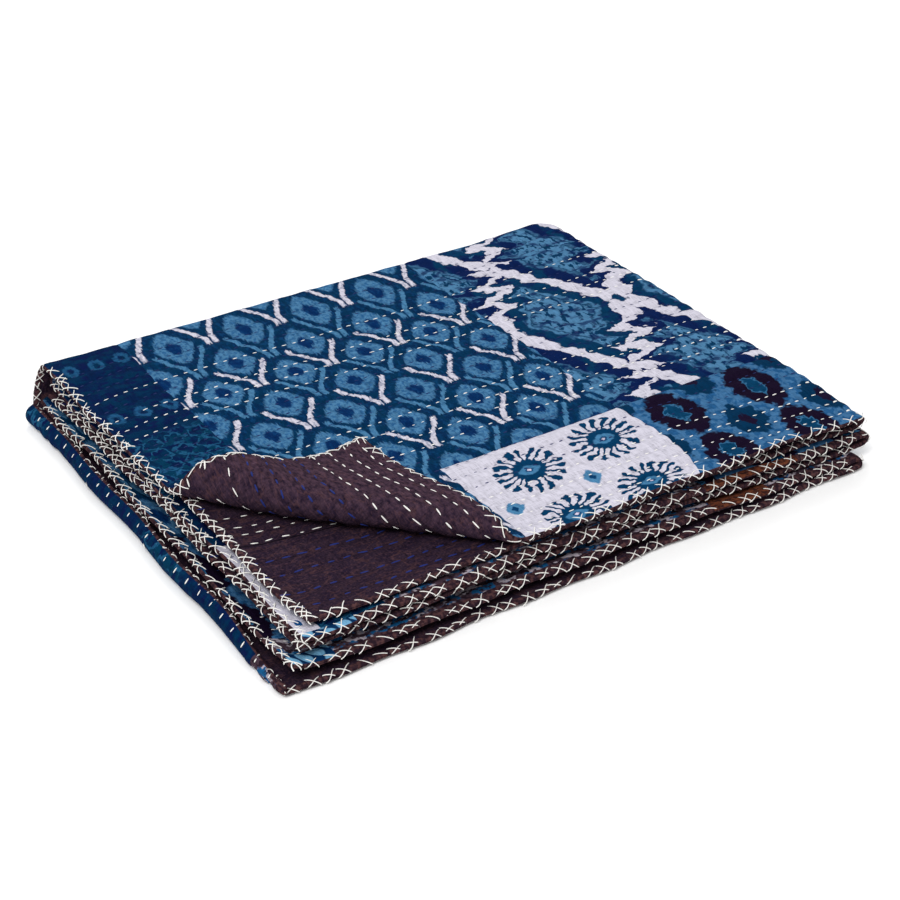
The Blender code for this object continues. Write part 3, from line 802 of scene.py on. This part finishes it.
def patch_at(spot, room):
    """Which cloth shows at a place of the unfolded sheet, this far from an open edge."""
    x, y = spot
    wide = x > 1140 and y < 7 or y > 818 and x < 925
    if room < (WIDE_HEM if wide else HEM_LINE):
        return "rust" if 1425 < x < 1500 or 570 < x < 625 and y > 800 else "hem"
    for patch, from_x, to_x, from_y, to_y in LOWER_PATCHES:
        if from_x < x < to_x and from_y < y < to_y:
            return patch
    if x > SEAMS_X[2] + seam_shift(SEAMS_X[2], y) - 0.01:
        return "rings" if y < SEAM_Y else "zigzag"
    if x > SEAMS_X[1] and y < SEAM_Y:
        return "white"
    return "dark" if x < SEAMS_X[0] else "trellis"


# ---- The two cloths ----
# The patchwork top and the brown backing lie face to face, a thin layer of air between them.
# The running stitches pull both in along rows, so that the cloth stands up in soft ridges. The
# raw edges are turned in, and the backing shows round the rim.
AIR = 0.15  # from the middle surface to each cloth
CLOTH = 1.6
RIM_WIDTH, RIM_SHARE = 3, 0.45  # thinner at its turned-in edges
BROWN_HEM = 2.9  # width of the worn hem on the brown side


def cloth_thickness(room):
    from_rim = 1 - min(room, RIM_WIDTH) / RIM_WIDTH
    return CLOTH * mix(RIM_SHARE, 1, math.sqrt(1 - from_rim ** 2))


def cloth_piece(name, side, patch_of_face):
    """One cloth beside the middle surface: side is 1 for the printed side, -1 for the brown."""
    index = {name_of: k for k, name_of in enumerate(mesh_points)}
    points = list(mesh_points.values())
    faces = [[index[name_of] for name_of in face] for face in sheet_faces]
    middle = bpy.data.meshes.new("middle")
    middle.from_pydata([point.place for point in points], [], faces)
    middle.update()
    corners_out, corners_in = [], []
    for vertex, point in zip(middle.vertices, points):
        thickness = cloth_thickness(point.room) + point.raised
        outer = vertex.co + vertex.normal * side * (AIR + thickness) - ORIGIN
        outer.z = max(outer.z, 0)
        corners_out.append(outer * 0.001)
        corners_in.append((vertex.co + vertex.normal * side * AIR - ORIGIN) * 0.001)
    bpy.data.meshes.remove(middle)
    if side < 0:
        faces = [face[::-1] for face in faces]
    count = len(points)
    directed = {(a, b) for face in faces for a, b in zip(face, face[1:] + face[:1])}
    rims = [(a, b) for a, b in directed if (b, a) not in directed]
    all_faces = faces + [[k + count for k in reversed(face)] for face in faces]
    all_faces += [(b, a, a + count, b + count) for a, b in sorted(rims)]
    mesh = bpy.data.meshes.new(name)
    mesh.from_pydata(corners_out + corners_in, [], all_faces)
    gaps = mesh.attributes.new("row_gap", "FLOAT", "POINT")
    gaps.data.foreach_set("value", [point.gap for point in points] * 2)
    sheet_map = mesh.uv_layers.new(name="sheet")
    order = list(PATCHES)
    for patch in order:
        mesh.materials.append(PATCHES[patch])
    for face in mesh.polygons:
        corners = [points[k % count] for k in face.vertices]
        centre = sum((corner.sheet for corner in corners), Vector((0, 0))) / len(corners)
        patch = patch_of_face(centre, min(corner.room for corner in corners))
        face.material_index = order.index(patch)
        for loop, corner in zip(face.loop_indices, corners):
            sheet_map.data[loop].uv = corner.sheet * 0.001
    mesh.shade_smooth()
    return put_in(name, mesh)


patchwork = cloth_piece("printed_patchwork_cloth", 1, patch_at)
backing = cloth_piece("brown_backing_cloth", -1,
                      lambda spot, room: "hem" if room < BROWN_HEM else "brown")


# ---- Running stitches ----
# Rows of running stitch in thick cotton go through both cloths over the whole quilt, some rows in
# white thread and the others in dark blue. The stitches are longer on the brown side.
WHITE_ROWS = {1, 2, 3, 4, 9, 10, 11, 12, 17, 18, 19, 21}
WHITE_SECOND_ROWS = {5, 6, 7, 8}
ROW_START = 4
RIM_REACH, OPEN_REACH = 34, 200  # where a row ends on a covered layer and on an open one
ROWS_UNDER_CORNER = 10
PAST_FOLD = {1: 3, -1: -6}  # how far past the fold line a row goes on, on each side
CURL_LENGTH = 18  # of the rolled edge, measured on the cloth
TO_LEFT, TO_BACK = Vector((-1, 0, 0)), Vector((0, 1, 0))


def slopes(number, x, y):
    """A place on a layer, and how the cloth goes on from there to the right and to the back."""
    here = sheet_point(number, x, y)
    return here, sheet_point(number, x + 0.4, y) - here, sheet_point(number, x, y + 0.4) - here


def cloth_face(number, x, y, side):
    """A place on a cloth's outer face and the direction out of it. side is -1 for the brown one."""
    here, slope_x, slope_y = slopes(number, x, y)
    out = slope_x.cross(slope_y).normalized() * (side if LAYERS[number].print_up else -side)
    lift = AIR + cloth_thickness(room_at(number, x, y)) + raised_at(number, x, y)
    return here + out * lift, out


def row_path(number, row, side, end):
    """One row of stitches on a layer, in pieces where the turned corner hides this side."""
    count = round((end - ROW_START) / 3)
    pieces = [[]]
    for step in range(count + 1):
        x = mix(ROW_START, end, step / count)
        y = quilting_rows(number, x)[row - 1]
        past = past_fold(plan(number, x, y)) if number == TOP else -side * FAR
        if past * side < PAST_FOLD[side] and y > 3:
            pieces[-1].append(cloth_face(number, x, y, side))
        elif pieces[-1]:
            pieces.append([])
    return [piece for piece in pieces if len(piece) > 3]


def on_curve(point_at, *where, turn, crosswise, step=0.02):
    """A place on a rounded fold, and the direction out of it."""
    here = point_at(*where, turn)
    return here, (point_at(*where, turn + step) - here).cross(crosswise).normalized()


def fold_path(upper, lower, y):
    """The stitches of a row where it goes round a right fold."""
    lift = AIR + CLOTH + raised_at(upper, LENGTH, y)
    spots = [on_curve(fold_point, upper, lower, LENGTH, y, turn=step / 12, crosswise=TO_BACK)
             for step in range(13)]
    return [(here + out * lift, out) for here, out in spots]


def wrap_point(x, turn):
    """Place on the back wrap, where the top layer goes down to the bottom one."""
    return fold_point(TOP, BOTTOM, x, WIDTH, turn, WRAP_BULGE)


def wrap_path(turn):
    """A row of stitches along the back wrap."""
    path = []
    for step in range(150):
        x = mix(3, CORNER_START, step / 149)
        here, out = on_curve(wrap_point, x, turn=turn, crosswise=TO_LEFT)
        swell = mix(raised_at(TOP, x, WIDTH), raised_at(BOTTOM, x, WIDTH), turn)
        path.append((here + out * (AIR + CLOTH + swell), out))
    return path


def curl_path(y):
    """The stitches of a row where it crosses the rolled left edge of the bottom layer."""
    path = []
    for step in range(9):
        turn = mix(0.12, 0.9, step / 8)
        here, out = on_curve(curl_point, y, turn=turn, crosswise=TO_BACK, step=0.01)
        lift = AIR + CLOTH + raised_at(BOTTOM, -CURL_LENGTH * turn, y)
        path.append((here + out * lift, out))
    return path


stitched_rows = {("white", 1): [], ("blue", 1): [], ("white", -1): [], ("blue", -1): []}
for row in range(1, ROW_COUNT + 1):
    colour = "white" if row in WHITE_ROWS else "blue"
    y = ROW_PITCH * row
    stitched_rows[colour, 1] += row_path(TOP, row, 1, LENGTH)
    stitched_rows[colour, -1] += row_path(TOP, row, -1, OPEN_REACH)
    second = "white" if row in WHITE_SECOND_ROWS else "blue"
    second_reach = OPEN_REACH if row <= ROWS_UNDER_CORNER else RIM_REACH
    stitched_rows[second, -1] += row_path(1, row, -1, second_reach)
    stitched_rows[colour, -1] += row_path(3, row, -1, RIM_REACH)
    for number in (2, 4):
        stitched_rows[colour, 1] += row_path(number, row, 1, RIM_REACH)
    for upper in (0, 2, 4):
        if y < RIGHT_FOLDS_END:
            stitched_rows[colour, 1].append(fold_path(upper, upper + 1, y))
    stitched_rows["white", 1].append(curl_path(y))
for turn, colour in ((0.22, "white"), (0.5, "blue"), (0.78, "white")):
    stitched_rows[colour, 1].append(wrap_path(turn))


def geometry_tree(name, sockets):
    """A Geometry Nodes tree with named inputs. Returns it, its inputs and what adds a node."""
    tree = bpy.data.node_groups.new(name, "GeometryNodeTree")
    tree.interface.new_socket("Geometry", in_out="INPUT", socket_type="NodeSocketGeometry")
    tree.interface.new_socket("Geometry", in_out="OUTPUT", socket_type="NodeSocketGeometry")
    for label, kind in sockets:
        tree.interface.new_socket(label, in_out="INPUT", socket_type="NodeSocket" + kind)
    return tree, tree.nodes.new("NodeGroupInput").outputs, partial(add_node, tree)


def laid_rotation(tree, towards, turn):
    """Rotation that points Z out of the cloth and X along the given direction, turned a little."""
    lay = add_node(tree, "GeometryNodeInputNamedAttribute", {"Name": "lay"},
                   data_type="FLOAT_VECTOR")
    upright = add_node(tree, "FunctionNodeAlignRotationToVector", {"Vector": lay}, axis="Z")
    along = add_node(tree, "FunctionNodeAlignRotationToVector",
                     {"Rotation": upright, "Vector": towards}, axis="X", pivot_axis="Z")
    spin = add_node(tree, "FunctionNodeEulerToRotation", {"Euler": turn})
    return add_node(tree, "FunctionNodeRotateRotation", {"Rotation": along, "Rotate By": spin},
                    rotation_space="LOCAL")


def random_vector(tree, low, high, seed):
    return add_node(tree, "FunctionNodeRandomValue", {"Min": low, "Max": high, "Seed": seed},
                    data_type="FLOAT_VECTOR")


def close_tree(tree, geometry, material):
    """End a tree with plain geometry that has its material."""
    real = add_node(tree, "GeometryNodeRealizeInstances", {"Geometry": geometry})
    dressed = add_node(tree, "GeometryNodeSetMaterial", {"Geometry": real, "Material": material})
    add_node(tree, "NodeGroupOutput", {"Geometry": dressed})


def sew(name, points, edges, vectors, tree, values):
    """Run a stitching tree over points or paths, and return the stitches as a plain mesh object."""
    mesh = bpy.data.meshes.new(name)
    mesh.from_pydata([(place - ORIGIN) * 0.001 for place in points], edges, [])
    for label, directions in vectors.items():
        layer_of = mesh.attributes.new(label, "FLOAT_VECTOR", "POINT")
        layer_of.data.foreach_set("vector", [part for vector in directions for part in vector])
    thing = put_in(name, mesh)
    modifier = thing.modifiers.new("stitching", "NODES")
    modifier.node_group = tree
    for item in tree.interface.items_tree:
        if item.in_out == "INPUT" and item.name in values:
            modifier[item.identifier] = values[item.name]
    evaluated = thing.evaluated_get(bpy.context.evaluated_depsgraph_get())
    sewn = bpy.data.meshes.new_from_object(evaluated)
    thing.modifiers.clear()
    for vertex in sewn.vertices:  # pressed flat on the floor
        vertex.co.z = max(vertex.co.z, 0.0001)
    thing.data = sewn
    return thing


STITCH_TURN = 0.16  # the most that a stitch lies askew
STITCH_SMALLEST, STITCH_LARGEST = (0.75, 0.85, 0.65), (1.2, 1.15, 0.8)  # of its usual size
STITCH_ASTRAY = Vector((0.0008, 0.0003, 0.0001))  # the most that it is out of its place, in metres
STITCHES_SEWN = 0.975  # the share that isn't missing
running, given, add = geometry_tree("running_stitches", (
    ("Pitch", "Float"), ("Length", "Float"), ("Thickness", "Float"), ("Seed", "Int"),
    ("Thread", "Material")))
rows_as_curves = add("GeometryNodeMeshToCurve", {"Mesh": given["Geometry"]})
spaced = add("GeometryNodeResampleCurve", {"Curve": rows_as_curves, "Length": given["Pitch"]},
             mode="LENGTH")
askew = random_vector(running, (0, 0, -STITCH_TURN), (0, 0, STITCH_TURN), given["Seed"])
turned = laid_rotation(running, add("GeometryNodeInputTangent", {}), askew)
spindle = add("GeometryNodeMeshUVSphere", {"Segments": 6, "Rings": 4, "Radius": 0.5})
lying = add("GeometryNodeTransform", {"Geometry": spindle, "Rotation": (0, math.pi / 2, 0)})
rounded = add("GeometryNodeSetShadeSmooth", {"Geometry": lying})
size = add("ShaderNodeCombineXYZ",
           {"X": given["Length"], "Y": given["Thickness"], "Z": given["Thickness"]})
uneven = random_vector(running, STITCH_SMALLEST, STITCH_LARGEST, given["Seed"])
scaled = add("ShaderNodeVectorMath", {0: size, 1: uneven}, operation="MULTIPLY")
kept = add("FunctionNodeRandomValue", {"Probability": STITCHES_SEWN, "Seed": given["Seed"]},
           data_type="BOOLEAN")
stitches = add("GeometryNodeInstanceOnPoints",
               {"Points": spaced, "Selection": kept.outputs[3], "Instance": rounded,
                "Rotation": turned, "Scale": scaled})
astray = random_vector(running, -STITCH_ASTRAY, STITCH_ASTRAY, given["Seed"])
shifted = add("GeometryNodeTranslateInstances", {"Instances": stitches, "Translation": astray})
close_tree(running, shifted, given["Thread"])


def thread_material(name, colour, roughness):
    """Matt twisted cotton thread, a little uneven in tone."""
    material = bpy.data.materials.new(name)
    material.use_nodes = True
    tree = material.node_tree
    add = partial(add_node, tree)
    place = add("ShaderNodeTexCoord", {}).outputs["Object"]
    texture = add("ShaderNodeTexNoise", {"Scale": 900, "Detail": 2, "Vector": place})
    twist = texture.outputs["Fac"]
    shades = {6: srgb(*(part * 0.8 for part in colour)), 7: srgb(*colour)}
    tint = add("ShaderNodeMix", {0: twist, **shades}, data_type="RGBA")
    bump = add("ShaderNodeBump", {"Distance": 0.0002, "Strength": 0.7, "Height": twist})
    fill(tree.nodes["Principled BSDF"], {
        "Base Color": tint.outputs[2], "Normal": bump,
        "Roughness": roughness, "Specular IOR Level": 0.3})
    return material


white_thread = thread_material("white_cotton_thread", (255, 253, 248), 0.75)
blue_thread = thread_material("blue_cotton_thread", (16, 36, 112), 0.8)
navy_thread = thread_material("navy_cotton_thread", (8, 30, 92), 0.8)
# For each colour and side: from stitch to stitch, and the stitch's length, thickness and thread
STITCHES = {
    ("white", 1): (STITCH_PITCH, 4.1, 1.2, white_thread),
    ("blue", 1): (STITCH_PITCH, 4.1, 1.2, navy_thread),
    ("white", -1): (10.8, 6.8, 1.3, white_thread),
    ("blue", -1): (10.8, 6.8, 1.7, blue_thread),
}
running_pieces = []
for seed, ((colour, side), paths) in enumerate(stitched_rows.items()):
    points, lays, edges = [], [], []
    for path in paths:
        edges += [(k, k + 1) for k in range(len(points), len(points) + len(path) - 1)]
        for place, lay in path:
            points.append(place)
            lays.append(lay)
    pitch, length, thickness, thread = STITCHES[colour, side]
    running_pieces.append(sew(
        f"{colour}_stitches_on_{'print' if side > 0 else 'brown'}", points, edges, {"lay": lays},
        running, {"Pitch": pitch / 1000, "Length": length / 1000,
                  "Thickness": thickness / 1000, "Seed": 11 + seed, "Thread": thread}))


# ---- Crossed stitches round the edges ----
# Every open edge is oversewn in thick cream thread. Each stitch goes from the upper face across
# the rim to the face below, and the next one crosses it, which leaves a line of tall crosses.
FRONT_PITCH, FRONT_COUNT = 12.4, 38
LEFT_PITCH, LEFT_COUNT, CURL_COUNT = 10, 39, 37
EDGING_THREAD, EDGING_GAPS = 0.00076, 0.05  # thickness in metres, share of arms left out
EDGING_ARM = {"Start": (-0.0052, -0.0056, 0.0019), "Start Handle": (-0.001, -0.0035, 0.0027),
              "End Handle": (0.003, 0.0035, 0.0015), "End": (0.005, -0.0012, -0.0018)}
ARM_TURN = Vector((0.08, 0.08, 0.28))  # the most that an arm of a cross lies askew
ARM_SMALLEST, ARM_LARGEST = (0.8, 0.7, 0.95), (1.15, 1.12, 1.1)  # of its usual size


def rim_spot(number, x, y):
    """Place at an open edge, the direction out past the edge and the direction out of the cloth."""
    here, slope_x, slope_y = slopes(number, x, y)
    up = slope_x.cross(slope_y).normalized()
    if number == TOP and past_fold(plan(TOP, x, y)) > 0:
        up = -up
    return here, -(slope_x if x == 0 else slope_y).normalized(), up


edge_spots = []
for number in range(len(LAYERS)):
    for step in range(LEFT_COUNT):
        y = 4 + LEFT_PITCH * step + 2 * math.sin(step * 2.4 + number)
        if number < BOTTOM and y < WIDTH - 3:
            edge_spots.append(rim_spot(number, 0, y))
    for step in range(FRONT_COUNT):
        x = 4 + FRONT_PITCH * step + 2 * math.sin(step * 1.9 + number)
        edge_spots.append(rim_spot(number, x, 0))
for step in range(CURL_COUNT):
    y = 5 + LEFT_PITCH * step
    hem = curl_point(y, 1, 4)
    hem_out = (hem - curl_point(y, 1, 3)).normalized()
    edge_spots.append((hem, hem_out, hem_out.cross(-TO_BACK)))
for upper, turns in ((0, (0.15, 0.5, 0.85)), (2, (0.2, 0.75)), (4, (0.5,))):
    for turn in turns:
        here, up = on_curve(fold_point, upper, upper + 1, LENGTH, 0, turn=turn, crosswise=TO_BACK)
        edge_spots.append((here, -TO_BACK, up))
for turn in (0.1, 0.22, 0.35, 0.48, 0.61, 0.74, 0.88):
    here, up = on_curve(wrap_point, 0, turn=turn, crosswise=-TO_LEFT)
    edge_spots.append((here, TO_LEFT, up))

crossing, given, add = geometry_tree("crossed_edge_stitches", (
    ("Thread Thickness", "Float"), ("Left Out", "Float"), ("Seed", "Int"), ("Thread", "Material")))
half_thick = add("ShaderNodeMath", {0: given["Thread Thickness"], 1: 0.5}, operation="MULTIPLY")
profile = add("GeometryNodeCurvePrimitiveCircle", {"Resolution": 5, "Radius": half_thick})
towards = add("GeometryNodeInputNamedAttribute", {"Name": "along"}, data_type="FLOAT_VECTOR")
left_in = add("ShaderNodeMath", {0: 1, 1: given["Left Out"]}, operation="SUBTRACT")
arms = add("GeometryNodeJoinGeometry", {})
for lean in (1, -1):
    arm_seed = add("FunctionNodeIntegerMath", {0: given["Seed"], 1: lean * 5}, operation="ADD")
    arm = add("GeometryNodeCurvePrimitiveBezierSegment", {
        "Resolution": 8, **{end: (x * lean, y, z) for end, (x, y, z) in EDGING_ARM.items()}})
    tube = add("GeometryNodeCurveToMesh",
               {"Curve": arm, "Profile Curve": profile, "Fill Caps": True})
    chosen = add("FunctionNodeRandomValue", {"Probability": left_in, "Seed": arm_seed},
                 data_type="BOOLEAN")
    askew = random_vector(crossing, -ARM_TURN, ARM_TURN, arm_seed)
    placed = add("GeometryNodeInstanceOnPoints", {
        "Points": given["Geometry"], "Selection": chosen.outputs[3], "Instance": tube,
        "Rotation": laid_rotation(crossing, towards, askew),
        "Scale": random_vector(crossing, ARM_SMALLEST, ARM_LARGEST, arm_seed)})
    fill(arms, {0: placed})
close_tree(crossing, arms, given["Thread"])

rims, outs, ups = zip(*edge_spots)
edging = sew("crossed_edge_stitches", rims, [],
             {"lay": ups, "along": [out.cross(up) for out, up in zip(outs, ups)]}, crossing,
             {"Thread Thickness": EDGING_THREAD, "Left Out": EDGING_GAPS, "Seed": 4,
              "Thread": white_thread})
edging.data.shade_smooth()


# ---- The pieces on the root body, with the solids hidden ----
for piece, node, slot_name in ((patchwork, "patchwork_top", "printed_patchwork"),
                               (backing, "backing_cloth", "brown_backing")):
    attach(piece, "root")
    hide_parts(node)
for piece in (*running_pieces, edging):
    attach(piece, "root")
